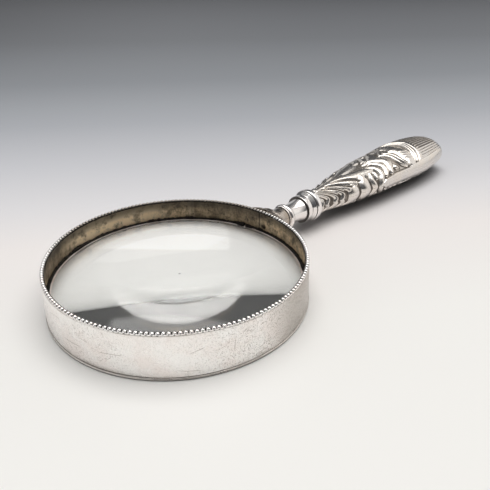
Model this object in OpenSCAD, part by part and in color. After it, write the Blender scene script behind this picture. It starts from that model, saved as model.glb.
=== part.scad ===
// Hand magnifying glass: a round lens in a deep beaded plate rim, with a chased oval handle that
// unscrews from a socket on the side of the rim.
// The origin is the centre of the rim's foot, on the surface it stands on. The handle lies along +X.

/* [Rim] */
// Outside radius of the upright band
rim_r = 45; // [42:0.5:48]
// Thickness of the band
rim_wall = 0.9; // [0.8:0.05:1.1]
// Height of the band's upper edge above the surface
rim_top = 15.3; // [14.6:0.1:16]
// Diameter of the half-round wire under the band
foot_d = 0.9; // [0.7:0.05:1.1]
// Azimuth of the soldered seam on the inside of the band
seam_az = 3.2; // [3:0.1:6]

/* [Beading] */
// Number of beads around the upper edge
bead_n = 184; // [120:1:186]
// Radius of one bead
bead_r = 0.68; // [0.5:0.02:0.7]
// Thickness of the flat strip that carries the beads
bead_strip = 0.3; // [0.2:0.05:0.4]

/* [Lens] */
// Radius of curvature of both lens faces
lens_curve = 211; // [205:1:260]
// Thickness of the lens at its edge
lens_edge = 2.5; // [2:0.1:2.6]
// Height of the seat that the lens lies on
seat_top = 4.9; // [4.7:0.1:5.2]
// Width of the ground flat around the lens
lens_land = 1.5; // [1.2:0.1:1.8]
// Thickness of the split ring that holds the lens down
keeper_t = 0.8; // [0.6:0.05:0.9]
// Azimuth of the gap in the split ring
keeper_az = 11.5; // [10:0.5:40]

/* [Socket] */
// Height of the handle's axis above the surface
axis_z = 9.4; // [9.35:0.05:9.8]
// Half width of the pointed saddle plate
saddle_half_w = 17; // [15:0.5:19]
// Half height of the pointed saddle plate
saddle_half_h = 7; // [6.5:0.1:7]
// Thickness of the saddle plate
saddle_t = 1; // [0.8:0.05:1.2]
// Outside radius of the turned collar
collar_r = 5.5; // [5.2:0.1:5.8]
// Radius of the threaded stud
stud_r = 2.38; // [2.3:0.02:2.4]

/* [Handle] */
// Length of the handle from the joint line to its end
handle_len = 129.65; // [126:0.05:133]
// Radius of the neck beside the joint
neck_r = 4.25; // [4.15:0.05:4.4]
// Outside radius of the front ring
front_ring_r = 6; // [5.8:0.1:6.4]
// Outside radius of the rear ring
rear_ring_r = 7; // [6.6:0.1:7.2]
// Thickness of the stamped shells under the relief
shell_t = 0.7; // [0.6:0.05:0.8]
// Height of the chased relief
relief_h = 0.6; // [0.3:0.05:0.65]
// Number of flutes around the end of the handle
flute_n = 20; // [16:2:24]

/* [Hidden] */
$fn = 96;

silver = [0.80, 0.78, 0.75];
dark_silver = [0.42, 0.38, 0.32];
glass = [0.82, 0.90, 0.87, 0.5];
steel = [0.55, 0.56, 0.58];
pitch_black = [0.12, 0.10, 0.09];

// A soldered fit leaves this much around a round piece; a running fit a little more.
solder_gap = 0.02;
running_gap = 0.04;

rim_bore = rim_r - rim_wall;
foot_round = foot_d / 2;
band_chamfer = 0.3;
seam_w = 0.24;
seam_deep = 0.3;

strip_in = rim_bore - 1;
bead_ring_r = rim_r - 1.1;
bead_z = rim_top + bead_strip;

lens_r = rim_bore - 0.25;
dome_r = lens_r - lens_land;
lens_sag = lens_curve - sqrt(lens_curve * lens_curve - dome_r * dome_r);
lens_top = seat_top + lens_edge;
seat_t = 1;
keeper_w = 1.15;
keeper_gap_deg = 1.2;
lug_deg = 4;
lug_w = 1.7;

saddle_out = rim_r + saddle_t;
vesica_r = (saddle_half_w * saddle_half_w + saddle_half_h * saddle_half_h) / (2 * saddle_half_h);

tenon_r = 1;
stud_shoulder = saddle_out + 0.6;
boss_end = saddle_out + 9;
boss_tip_r = 4.6;
boss_root_r = 6.8;
boss_cove_r = 14;
collar_end = boss_end + 3.2;
stud_tip = collar_end + 10.2;

joint_gap = 0.15;
neck_x = collar_end + joint_gap;
bush_x = neck_x + 0.65;
bush_len = 10.4;
bush_bore = stud_r + running_gap;
bush_r = bush_bore + 0.98;
neck_bore = bush_r + running_gap;
sleeve_r = 5;
spigot_r = 4.3;
neck_cove = 23;
neck_straight = 1.8;
sleeve_x = neck_x + 7.8;
sleeve_end = neck_x + 24;
bore_end = bush_x + bush_len + 1;
tang_r = 2.4;
tang_tip_r = 1.2;
tang_end = neck_x + 80;

front_ring_x = sleeve_x + 0.2;
front_ring_w = 2.6;
rear_ring_x = sleeve_x + 5.2;
rear_ring_w = 3.2;

// The shells' inside is a coarser grid than their outside; the filling follows the inside.
coarse = 4;
in_along = 12;
in_across = 10;
in_end = 0.97;
fill_gap = 0.1;

shell_x = rear_ring_x + rear_ring_w;
shell_end = neck_x + handle_len;
shell_len = shell_end - shell_x;

// Half width and half height of the handle at stations along the shells, as a share of their length.
stations = [
    [0.000, 6.2, 5.9], [0.060, 6.4, 5.8], [0.135, 8.3, 6.6], [0.240, 10.2, 7.4], [0.380, 12.4, 8.2],
    [0.510, 13.3, 8.6], [0.630, 14.4, 9.05], [0.720, 15.0, 9.3], [0.810, 14.6, 9.0],
    [0.895, 13.3, 8.3], [0.950, 11.8, 7.4], [0.985, 9.2, 5.8], [1.000, 5.6, 3.6]
];

function station_at(u, i = 0) =
    (i >= len(stations) - 2 || u <= stations[i + 1][0]) ? i : station_at(u, i + 1);
function mix(a, b, t) = a + (b - a) * t;
function ease(t) = t * t * (3 - 2 * t);
function slope_at(i, k) =
    (i == 0 || i == len(stations) - 1) ? 0
    : (stations[i + 1][k] - stations[i - 1][k]) / (stations[i + 1][0] - stations[i - 1][0]);
function hermite(t, a, b, da, db) =
    (1 + 2 * t) * (1 - t) * (1 - t) * a + t * (1 - t) * (1 - t) * da
    + t * t * (3 - 2 * t) * b - t * t * (1 - t) * db;
function half_size(u, k) =
    let (i = station_at(u), span = stations[i + 1][0] - stations[i][0],
         t = (u - stations[i][0]) / span)
    hermite(t, stations[i][k], stations[i + 1][k], slope_at(i, k) * span, slope_at(i + 1, k) * span);
function gate(u, a, b, soft = 0.03) =
    ease(max(0, min(1, (u - a) / soft))) * ease(max(0, min(1, (b - u) / soft)));

// Relief of the stamping, from 0 in the hollows to 1 on the ridges, with a plain strip at each seam.
function swirl(u, ang) = 0.5 + 0.5 * sin(4 * ang + 900 * u);
function leaf(u, ang) = 0.5 + 0.5 * cos(3 * (ang - 90) - 500 * u);
function flute(ang) = abs(cos(flute_n / 2 * ang));
function plain_strip(ang) = ease(max(0, min(1, abs(sin(ang)) / 0.25)));
function relief(u, ang) =
    plain_strip(ang) * (
        gate(u, 0.02, 0.36) * swirl(u, ang)
        + gate(u, 0.36, 0.70) * leaf(u, ang)
        + gate(u, 0.74, 0.99, 0.02) * flute(ang)
    );

// One point of the handle's surface, "inset" below the crest of the relief.
function skin_point(u, ang, inset, carved) =
    let (drop = inset + (carved ? relief_h * (1 - relief(u, ang)) : 0),
         w = half_size(u, 1) - drop, h = half_size(u, 2) - drop)
    [shell_x + u * shell_len, w * cos(ang), axis_z + h * sin(ang)];

// One point of the shells' plain inside; v counts its stations along the handle.
function inside_point(v, ang, gap) =
    let (i = min(in_along - 1, floor(v)), t = v - i, inset = relief_h + shell_t + gap)
    mix(skin_point(i / in_along * in_end, ang, inset, false),
        skin_point((i + 1) / in_along * in_end, ang, inset, false), t);

module tube(x0, x1, r) {
    translate([x0, 0, axis_z]) rotate([0, 90, 0]) cylinder(r = r, h = x1 - x0);
}

module turned() {
    translate([0, 0, axis_z]) rotate([0, 90, 0]) rotate_extrude() rotate([0, 0, 90]) mirror([0, 1]) children();
}

module ring(r_in, r_out, z, h) {
    translate([0, 0, z]) difference() {
        cylinder(r = r_out, h = h);
        translate([0, 0, -1]) cylinder(r = r_in, h = h + 2);
    }
}

module rim_band() {
    color(silver) difference() {
        rotate_extrude() polygon([
            [rim_bore, foot_d], [rim_r - band_chamfer, foot_d], [rim_r, foot_d + band_chamfer],
            [rim_r, rim_top], [rim_bore, rim_top]
        ]);
        rotate([0, 0, seam_az])
            translate([rim_bore - 0.5, -seam_w / 2, foot_d - 0.5])
                cube([0.5 + seam_deep, seam_w, rim_top]);
        tube(rim_bore - 2, rim_r + 2, tenon_r + solder_gap);
    }
}

module foot_wire() {
    color(silver) rotate_extrude() union() {
        translate([rim_r + 0.25 - foot_round, foot_round]) circle(r = foot_round);
        translate([rim_bore - 0.1, 0]) square([rim_wall + 0.35 - foot_round, foot_d]);
    }
}

// One bead, with its foot flattened inside the strip that carries it.
module bead() {
    rotate_extrude() intersection() {
        circle(r = bead_r);
        translate([0, -bead_strip / 2]) square([bead_r, 2 * bead_r]);
    }
}

module beaded_wire() {
    color(silver) union() {
        ring(strip_in, rim_r, rim_top, bead_strip);
        for (i = [0 : bead_n - 1])
            rotate([0, 0, i * 360 / bead_n]) translate([bead_ring_r, 0, bead_z]) bead();
    }
}

module lens_seat_ring() {
    color(dark_silver) ring(dome_r + 0.15, rim_bore - solder_gap, seat_top - seat_t, seat_t);
}

module lens() {
    color(glass) rotate_extrude() union() {
        translate([0, seat_top]) square([lens_r, lens_edge]);
        intersection() {
            translate([0, lens_top + lens_sag - lens_curve]) circle(r = lens_curve, $fn = 1440);
            translate([0, seat_top - lens_sag - 1]) square([dome_r, lens_edge + 2 * lens_sag + 2]);
            translate([0, seat_top - lens_sag + lens_curve]) circle(r = lens_curve, $fn = 1440);
        }
    }
}

module wedge(deg) {
    reach = 2 * rim_r;
    polygon([[0, 0], [reach, -reach * tan(deg / 2)], [reach, reach * tan(deg / 2)]]);
}

module retaining_ring() {
    out_r = rim_bore - solder_gap;
    color(dark_silver) rotate([0, 0, keeper_az]) translate([0, 0, lens_top])
        linear_extrude(keeper_t) difference() {
            circle(r = out_r);
            difference() {
                circle(r = out_r - keeper_w);
                wedge(keeper_gap_deg + 2 * lug_deg);
            }
            circle(r = out_r - lug_w);
            wedge(keeper_gap_deg);
        }
}

module saddle_plate() {
    color(silver) difference() {
        intersection() {
            ring(rim_r + solder_gap, saddle_out, 0, 2 * axis_z);
            translate([rim_r - 12, 0, axis_z]) rotate([90, 0, 90]) linear_extrude(20) intersection() {
                translate([0, vesica_r - saddle_half_h]) circle(r = vesica_r);
                translate([0, saddle_half_h - vesica_r]) circle(r = vesica_r);
            }
        }
        tube(rim_r - 2, saddle_out + 2, tenon_r + solder_gap);
    }
}

module socket_boss() {
    color(silver) difference() {
        turned() difference() {
            translate([saddle_out - 2, 0]) square([boss_end - saddle_out + 2, boss_root_r]);
            translate([boss_end, boss_tip_r + boss_cove_r]) circle(r = boss_cove_r);
        }
        translate([0, 0, axis_z - 20]) cylinder(r = saddle_out + solder_gap, h = 40);
        tube(rim_r, boss_end + 1, tenon_r + solder_gap);
        tube(stud_shoulder, boss_end + 1, stud_r + solder_gap);
    }
}

module socket_collar() {
    bead = 1.2;
    color(silver) difference() {
        turned() union() {
            translate([boss_end, 0]) square([collar_end - boss_end, collar_r - 0.7]);
            translate([(boss_end + collar_end) / 2, collar_r - bead]) circle(r = bead);
        }
        tube(boss_end - 1, collar_end + 1, stud_r + solder_gap);
    }
}

module threaded_stud() {
    tip = 0.5;
    color(steel) turned() polygon([
        [rim_bore - 0.1, 0], [rim_bore - 0.1, tenon_r], [stud_shoulder, tenon_r], [stud_shoulder, stud_r],
        [stud_tip - tip, stud_r], [stud_tip, stud_r - tip], [stud_tip, 0]
    ]);
}

module threaded_bush() {
    color(steel) difference() {
        tube(bush_x, bush_x + bush_len, bush_r);
        tube(bush_x - 1, bush_x + bush_len + 1, bush_bore);
    }
}

module neck_ferrule() {
    color(silver) difference() {
        turned() difference() {
            polygon([
                [neck_x, 0], [neck_x, sleeve_r], [shell_x, sleeve_r], [shell_x, spigot_r],
                [sleeve_end, spigot_r], [sleeve_end, 0]
            ]);
            translate([neck_x - 1, neck_r]) square([1 + neck_straight, sleeve_r]);
            translate([neck_x + neck_straight, neck_r + neck_cove]) circle(r = neck_cove);
        }
        tube(neck_x - 1, bore_end, neck_bore);
        tube(neck_x, sleeve_end + 1, tang_r + solder_gap);
    }
}

module soldered_ring(x, w, r, bead) {
    color(silver) difference() {
        turned() union() {
            translate([x, 0]) square([w, r - bead * 0.6]);
            translate([x + bead, r - bead]) circle(r = bead);
            translate([x + w - bead, r - bead]) circle(r = bead);
            translate([x + bead, 0]) square([w - 2 * bead, r]);
        }
        tube(x - 1, x + w + 1, sleeve_r + solder_gap);
    }
}

module front_ring() {
    soldered_ring(front_ring_x, front_ring_w, front_ring_r, 0.6);
}

module rear_ring() {
    soldered_ring(rear_ring_x, rear_ring_w, rear_ring_r, 1);
}

// A closed skin through rings of points; every ring has the same number of points.
module skin(rings) {
    n = len(rings[0]);
    m = len(rings);
    polyhedron(
        points = [for (r = rings) each r],
        faces = concat(
            [for (i = [0 : m - 2], j = [0 : n - 1]) each [
                [i * n + j, i * n + (j + 1) % n, (i + 1) * n + j],
                [i * n + (j + 1) % n, (i + 1) * n + (j + 1) % n, (i + 1) * n + j]
            ]],
            [[for (j = [n - 1 : -1 : 0]) j]],
            [[for (j = [0 : n - 1]) (m - 1) * n + j]]
        )
    );
}

// Half of the stamped handle: a carved outside, a plain inside, and flat edges along the seam.
module half_shell(start) {
    along = in_along * coarse;
    across = in_across * coarse;
    outside = [for (i = [0 : along], j = [0 : across])
        skin_point(i / along, start + j * 180 / across, 0, true)];
    inside = [for (i = [0 : in_along], j = [0 : in_across])
        inside_point(i, start + j * 180 / in_across, 0)];
    function o(i, j) = i * (across + 1) + j;
    function n(i, j) = len(outside) + i * (in_across + 1) + j;
    function turn(f, flip) = flip ? [f[0], f[2], f[1]] : f;
    // The flat strip between a row of inside points and the finer row of outside points.
    function strip(fine, rough, flip) = [for (i = [0 : len(rough) - 2]) each concat(
        [for (m = [0 : coarse - 1])
            turn([rough[i], fine[i * coarse + m], fine[i * coarse + m + 1]], flip)],
        [turn([rough[i], fine[(i + 1) * coarse], rough[i + 1]], flip)]
    )];
    function edge_out(j) = [for (i = [0 : along]) o(i, j)];
    function edge_in(j) = [for (i = [0 : in_along]) n(i, j)];
    polyhedron(
        points = concat(outside, inside),
        faces = concat(
            [for (i = [0 : along - 1], j = [0 : across - 1]) each [
                [o(i, j), o(i + 1, j), o(i, j + 1)], [o(i, j + 1), o(i + 1, j), o(i + 1, j + 1)]
            ]],
            [for (i = [0 : in_along - 1], j = [0 : in_across - 1]) each [
                [n(i, j), n(i, j + 1), n(i + 1, j)], [n(i, j + 1), n(i + 1, j + 1), n(i + 1, j)]
            ]],
            strip([for (j = [0 : across]) o(0, j)], [for (j = [0 : in_across]) n(0, j)], false),
            strip(edge_out(0), edge_in(0), true),
            strip(edge_out(across), edge_in(in_across), false),
            [for (j = [1 : across - 1]) [o(along, 0), o(along, j + 1), o(along, j)]],
            [for (j = [1 : in_across - 1]) [n(in_along, 0), n(in_along, j), n(in_along, j + 1)]],
            [[o(along, 0), n(in_along, 0), n(in_along, in_across)],
             [o(along, 0), n(in_along, in_across), o(along, across)]]
        )
    );
}

module handle_shell_upper() {
    color(silver) half_shell(0);
}

module handle_shell_lower() {
    color(silver) half_shell(180);
}

module tang() {
    color(steel) turned() polygon([
        [bore_end + 0.2, 0], [bore_end + 0.2, tang_r], [sleeve_end + 0.5, tang_r],
        [tang_end, tang_tip_r], [tang_end, 0]
    ]);
}

module pitch_filling() {
    first = (sleeve_end + fill_gap - shell_x) / shell_len / in_end * in_along;
    last = in_along - 0.05;
    stops = concat([first], [for (i = [ceil(first) : in_along - 1]) i], [last]);
    hole = tang_r + solder_gap;
    color(pitch_black) difference() {
        skin([for (v = stops)
            [for (j = [0 : 2 * in_across - 1]) inside_point(v, j * 180 / in_across, fill_gap)]]);
        turned() polygon([
            [sleeve_end - 1, 0], [sleeve_end - 1, hole], [sleeve_end + 0.5, hole],
            [tang_end + solder_gap, tang_tip_r + solder_gap], [tang_end + solder_gap, 0]
        ]);
    }
}

rim_band();
foot_wire();
beaded_wire();
lens_seat_ring();
lens();
retaining_ring();
saddle_plate();
socket_boss();
socket_collar();
threaded_stud();
threaded_bush();
neck_ferrule();
front_ring();
rear_ring();
handle_shell_upper();
handle_shell_lower();
tang();
pitch_filling();
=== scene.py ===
"""An antique magnifying glass: deep beaded rim, thick biconvex lens, chased oval handle."""

import math

import bpy
import numpy as np
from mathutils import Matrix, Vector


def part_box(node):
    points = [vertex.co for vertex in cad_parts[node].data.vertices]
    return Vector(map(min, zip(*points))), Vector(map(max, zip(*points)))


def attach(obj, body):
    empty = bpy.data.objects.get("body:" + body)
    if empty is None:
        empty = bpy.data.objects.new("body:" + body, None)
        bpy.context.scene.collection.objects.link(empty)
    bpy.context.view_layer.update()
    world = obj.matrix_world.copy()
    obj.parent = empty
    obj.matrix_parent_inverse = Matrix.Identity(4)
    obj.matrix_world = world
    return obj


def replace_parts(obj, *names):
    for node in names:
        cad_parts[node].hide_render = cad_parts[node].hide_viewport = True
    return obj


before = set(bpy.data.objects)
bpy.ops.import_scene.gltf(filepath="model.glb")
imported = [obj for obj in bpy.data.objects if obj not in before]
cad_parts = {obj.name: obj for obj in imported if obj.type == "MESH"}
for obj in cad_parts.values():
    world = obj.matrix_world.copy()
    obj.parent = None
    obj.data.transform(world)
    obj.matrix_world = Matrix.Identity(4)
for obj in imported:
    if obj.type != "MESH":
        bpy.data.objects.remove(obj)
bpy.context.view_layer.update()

MM = 0.001
SEED = 7      # every random draw starts from this or from it plus a small number


# ---- sizes, read from the CAD frame where it has them; lengths here and in the meshes are millimetres

def span(node):
    """A node's lowest and highest corners, in millimetres."""
    low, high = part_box(node)
    return np.array(low) / MM, np.array(high) / MM


BAND_LOW, BAND_HIGH = span("rim_band")
FOOT_LOW, FOOT_HIGH = span("foot_wire")
BEAD_LOW, _ = span("beaded_wire")
LENS_LOW, LENS_HIGH = span("lens")
STUD_LOW, STUD_HIGH = span("threaded_stud")
SHELL_LOW, SHELL_HIGH = span("handle_shell_upper")
KEEPER_LOW, KEEPER_HIGH = span("retaining_ring")
COLLAR_LOW, COLLAR_HIGH = span("socket_collar")
FRONT_LOW, FRONT_HIGH = span("front_ring")
REAR_LOW, REAR_HIGH = span("rear_ring")
AXIS_Z = SHELL_LOW[2]
RIM_R = BAND_HIGH[0]
RIM_WALL = 0.9     # the band's sheet, as in the part's source
RIM_BORE = RIM_R - RIM_WALL
TENON_END = 46.6   # x where the stud's tenon meets its shoulder
LEAN = 0.48        # how far the band's outside leans in at its top

# Azimuths round the rim, in degrees from the handle.
SEAM_DEG = 3.2
WORN_DEG = -78.0
DARKER_END_DEG = -58.0
DARK_SIDE_DEG = 120.0
PALE_SIDE_DEG = 88.0
# Where painted shade darkens the inside of the band.
HANDLE_SHADE_DEG = 22.0
OLD_BEADS_DEG = 60.0


# ---- mesh helpers

def signed_volume(points, faces):
    """Volume inside the faces, negative when they face inwards."""
    total = 0.0
    for size in set(len(f) for f in faces):
        ring = points[np.array([f for f in faces if len(f) == size])]
        for k in range(1, size - 1):
            total += np.einsum("ij,ij->", ring[:, 0], np.cross(ring[:, k], ring[:, k + 1]))
    return total / 6


def make_object(name, points, faces, body, materials, face_material=None):
    """A smooth mesh from points in millimetres, its faces turned outwards."""
    points = np.asarray(points, float).reshape(-1, 3)
    if signed_volume(points - points.mean(0), faces) < 0:
        faces = [f[::-1] for f in faces]
    mesh = bpy.data.meshes.new(name)
    mesh.from_pydata((points * MM).tolist(), [], faces)
    mesh.update()
    mesh.polygons.foreach_set("use_smooth", [True] * len(mesh.polygons))
    for m in materials:
        mesh.materials.append(m)
    if face_material is not None:
        mesh.polygons.foreach_set("material_index", face_material)
    obj = bpy.data.objects.new(name, mesh)
    bpy.context.scene.collection.objects.link(obj)
    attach(obj, body)
    return obj


def grid_faces(rows, cols, wrap_rows=False, wrap_cols=False, flip=False):
    """Quads over a grid of points stored row by row."""
    r = np.arange(rows if wrap_rows else rows - 1)
    c = np.arange(cols if wrap_cols else cols - 1)
    rr, cc = np.meshgrid(r, c, indexing="ij")
    r2, c2 = (rr + 1) % rows, (cc + 1) % cols
    quads = np.stack([rr * cols + cc, rr * cols + c2, r2 * cols + c2, r2 * cols + cc], -1).reshape(-1, 4)
    return (quads[:, ::-1] if flip else quads).tolist()


def caps(rows, cols, flip=False):
    """The two faces that close a grid at its first and last row."""
    first, last = list(range(cols)), [(rows - 1) * cols + i for i in range(cols)]
    return [first, last[::-1]] if flip else [first[::-1], last]


def rounded(corners, radius, steps=4):
    """A closed outline with its corners rounded; each corner is (x, y)."""
    corners = np.asarray(corners, float)
    out = []
    n = len(corners)
    for i in range(n):
        p, a, b = corners[i], corners[i - 1], corners[(i + 1) % n]
        da, db = a - p, b - p
        la, lb = np.linalg.norm(da), np.linalg.norm(db)
        r = min(radius, la * 0.45, lb * 0.45)
        start, end = p + da / la * r, p + db / lb * r
        for k in range(steps + 1):
            t = k / steps
            out.append((1 - t) ** 2 * start + 2 * t * (1 - t) * p + t ** 2 * end)
    return np.array(out)


def refine(outline, step):
    """Adds points along the straight stretches of a closed outline."""
    out = []
    n = len(outline)
    for i in range(n):
        a, b = outline[i], outline[(i + 1) % n]
        k = max(1, int(np.linalg.norm(b - a) / step))
        for j in range(k):
            out.append(a + (b - a) * j / k)
    return np.array(out)


def spin_z(outline, degrees):
    """A closed outline of (radius, height) turned about Z at the given azimuths."""
    az = np.radians(degrees)[:, None]
    r, z = outline[:, 0][None, :], outline[:, 1][None, :]
    return np.stack([r * np.cos(az), r * np.sin(az), z + 0 * az], -1)


def smooth_step(t):
    """Goes from 0 to 1 as t does, level at both ends."""
    t = np.clip(t, 0, 1)
    return t * t * (3 - 2 * t)


def about_axis(x, across, up, angle):
    """Points about the handle's axis, from a half width and a half height at each angle."""
    return np.stack([x, across * np.cos(angle), AXIS_Z + up * np.sin(angle)], -1)


def set_attribute(obj, name, values):
    """A number for each point, which a material can read."""
    attribute = obj.data.attributes.new(name, "FLOAT", "POINT")
    attribute.data.foreach_set("value", np.asarray(values, np.float32).ravel())


# ---- material helpers

class Nodes:
    """Short names for building a node tree."""

    def __init__(self, tree):
        self.tree = tree

    def add(self, kind, **inputs):
        node = self.tree.nodes.new(kind)
        for key, value in inputs.items():
            if key in node.inputs:
                self.feed(node.inputs[key], value)
            else:
                setattr(node, key, value)
        return node

    def feed(self, socket, value):
        if isinstance(value, bpy.types.NodeSocket):
            self.tree.links.new(value, socket)
        else:
            socket.default_value = value

    def place(self):
        return self.add("ShaderNodeTexCoord").outputs["Object"]

    def xyz(self, vector):
        node = self.add("ShaderNodeSeparateXYZ", Vector=vector)
        return node.outputs["X"], node.outputs["Y"], node.outputs["Z"]

    def math(self, operation, a, b=0.0):
        node = self.tree.nodes.new("ShaderNodeMath")
        node.operation = operation
        self.feed(node.inputs[0], a)
        self.feed(node.inputs[1], b)
        return node.outputs[0]

    def plus(self, a, b):
        return self.math("ADD", a, b)

    def minus(self, a, b):
        return self.math("SUBTRACT", a, b)

    def times(self, a, b):
        return self.math("MULTIPLY", a, b)

    def larger(self, a, b):
        return self.math("MAXIMUM", a, b)

    def unsigned(self, a):
        return self.math("ABSOLUTE", a)

    def ramp(self, value, low, high, a=0.0, b=1.0):
        """Goes smoothly from a to b as the value goes from low to high."""
        node = self.tree.nodes.new("ShaderNodeMapRange")
        node.interpolation_type = "SMOOTHSTEP"
        for key, v in (("Value", value), ("From Min", low), ("From Max", high), ("To Min", a), ("To Max", b)):
            self.feed(node.inputs[key], v)
        return node.outputs[0]

    def mix(self, factor, a, b):
        """A colour between a and b, from the node's two colour sockets."""
        node = self.add("ShaderNodeMix", data_type="RGBA")
        for index, value in ((0, factor), (6, a), (7, b)):
            self.feed(node.inputs[index], value)
        return node.outputs[2]

    def blend(self, factor, a, b):
        """A number between a and b, from the node's two number sockets."""
        node = self.add("ShaderNodeMix", data_type="FLOAT")
        for index, value in ((0, factor), (2, a), (3, b)):
            self.feed(node.inputs[index], value)
        return node.outputs[0]

    def noise(self, vector, scale, detail=4.0, rough=0.55, stretch=None):
        if stretch is not None:
            vector = self.add("ShaderNodeMapping", Vector=vector, Scale=stretch).outputs[0]
        node = self.add("ShaderNodeTexNoise", Vector=vector, Scale=scale, Detail=detail, Roughness=rough)
        return node.outputs["Fac"]

    def attribute(self, name):
        return self.add("ShaderNodeAttribute", attribute_name=name).outputs["Fac"]

    def polar(self, radius):
        """Coordinates along a ring about Z: arc length, height and radius in metres, and azimuth."""
        x, y, z = self.xyz(self.place())
        turn = self.math("ARCTAN2", y, x)
        arc = self.times(turn, radius)
        r = self.math("SQRT", self.plus(self.times(x, x), self.times(y, y)))
        vector = self.add("ShaderNodeCombineXYZ", X=arc, Y=z, Z=r).outputs[0]
        return vector, arc, z, r, turn

    def facing(self, turn, degrees):
        """1 at an azimuth and falling to -1 on the far side, as a cosine."""
        return self.math("COSINE", self.minus(turn, math.radians(degrees)))

    def bump(self, height, strength, distance):
        return self.add("ShaderNodeBump", Height=height, Strength=strength, Distance=distance).outputs[0]


class Surface(Nodes):
    """A new material and its shader."""

    def __init__(self, name):
        self.material = bpy.data.materials.new(name)
        self.material.use_nodes = True
        super().__init__(self.material.node_tree)
        self.shader = self.tree.nodes["Principled BSDF"]

    def finish(self, **inputs):
        """Feeds the shader's sockets, with _ for a space in a name, and gives the material."""
        for key, value in inputs.items():
            self.feed(self.shader.inputs[key.replace("_", " ")], value)
        return self.material


def rgb(r, g, b):
    return (r, g, b, 1.0)


SILVER = rgb(0.95, 0.935, 0.92)
SILVER_WARM = rgb(0.93, 0.875, 0.845)
TARNISH = rgb(0.16, 0.125, 0.085)
BLACKENED = rgb(0.018, 0.015, 0.012)


def scratches(n, vector, size, reach, half, share, spread=2 * math.pi):
    """1 on lone scratches, at most one in each cell of a net.

    The cell's size, the scratch's half length and its half width are in millimetres; share is how many
    cells have one, and spread how far its direction may turn.
    """
    bow_most = 55.0
    shifted = n.add("ShaderNodeMapping", Vector=vector, Location=(size * MM, share * MM, 0.0)).outputs[0]
    cell = n.add("ShaderNodeTexVoronoi", voronoi_dimensions="2D", Vector=shifted, Scale=1 / (size * MM))
    x, y, _ = n.xyz(shifted)
    cx, cy, _ = n.xyz(cell.outputs["Position"])
    pick = n.xyz(cell.outputs["Color"])
    dx, dy = n.minus(x, cx), n.minus(y, cy)
    angle = n.times(n.minus(pick[0], 0.5), spread)
    c, s = n.math("COSINE", angle), n.math("SINE", angle)
    along = n.unsigned(n.plus(n.times(dx, c), n.times(dy, s)))
    across = n.minus(n.times(dy, c), n.times(dx, s))
    bow = n.times(n.times(along, along), n.times(n.minus(pick[1], 0.5), bow_most))
    across = n.unsigned(n.plus(across, bow))
    line = n.ramp(across, half * 0.3 * MM, half * MM, 1.0, 0.0)
    line = n.times(line, n.ramp(along, reach * 0.5 * MM, reach * MM, 1.0, 0.0))
    return n.times(line, n.ramp(pick[2], 1 - share, 1.05 - share))


def band_outside(n, vector, z, turn):
    """Satin silver plate: its colour, roughness and height. The grain is coarser in the worn patch, and the
    colour is greyer on one side of the band.
    """
    cloud = n.noise(vector, 90.0, detail=4.0)
    grain = n.noise(vector, 2300.0, detail=4.0, rough=0.85)
    bruise = n.noise(vector, 900.0, detail=4.0, rough=0.7)
    worn = n.ramp(n.facing(turn, WORN_DEG), 0.60, 0.97)
    worn = n.larger(n.times(worn, 0.9), n.ramp(n.noise(vector, 42.0), 0.52, 0.68, 0.0, 0.6))
    pits = n.times(n.ramp(grain, 0.50, 0.64), n.plus(0.24, n.times(worn, 0.76)))
    marks = n.times(n.ramp(bruise, 0.62, 0.72), n.plus(0.15, n.times(worn, 0.35)))
    short = n.larger(scratches(n, vector, 1.5, 0.6, 0.08, 0.40), scratches(n, vector, 2.7, 1.3, 0.09, 0.30))
    long = n.larger(scratches(n, vector, 6.5, 2.6, 0.09, 0.25),
                    scratches(n, vector, 13.0, 4.5, 0.11, 0.30, spread=0.7))
    scratch = n.larger(n.times(short, n.plus(0.30, n.times(worn, 0.7))), long)
    low_edge = n.ramp(z, (BAND_LOW[2] + 0.1) * MM, (BAND_LOW[2] + 2.2) * MM, 1.0, 0.0)
    high_edge = n.ramp(z, (BAND_HIGH[2] - 0.45) * MM, (BAND_HIGH[2] - 0.1) * MM)
    smear = n.ramp(n.noise(vector, 420.0, detail=4.0, stretch=(0.35, 1.0, 1.0)), 0.42, 0.66, 0.15, 0.8)
    grime = n.times(n.larger(n.times(low_edge, 0.6), high_edge), smear)
    darker_end = n.ramp(n.facing(turn, DARKER_END_DEG), 0.76, 0.97, 0.0, 0.80)

    tone = n.mix(n.ramp(cloud, 0.35, 0.65), SILVER, SILVER_WARM)
    tone = n.mix(n.times(pits, 0.92), tone, rgb(0.31, 0.265, 0.23))
    tone = n.mix(n.times(marks, 0.55), tone, rgb(0.34, 0.32, 0.31))
    tone = n.mix(n.times(scratch, 0.70), tone, rgb(0.24, 0.19, 0.15))
    tone = n.mix(darker_end, tone, rgb(0.40, 0.36, 0.325))
    tone = n.mix(n.times(grime, 0.75), tone, TARNISH)
    rough = n.plus(n.ramp(cloud, 0.3, 0.7, 0.22, 0.32), n.times(pits, 0.22))
    height = n.minus(n.times(grain, 0.8), n.plus(scratch, n.plus(pits, marks)))
    return tone, rough, height


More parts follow.
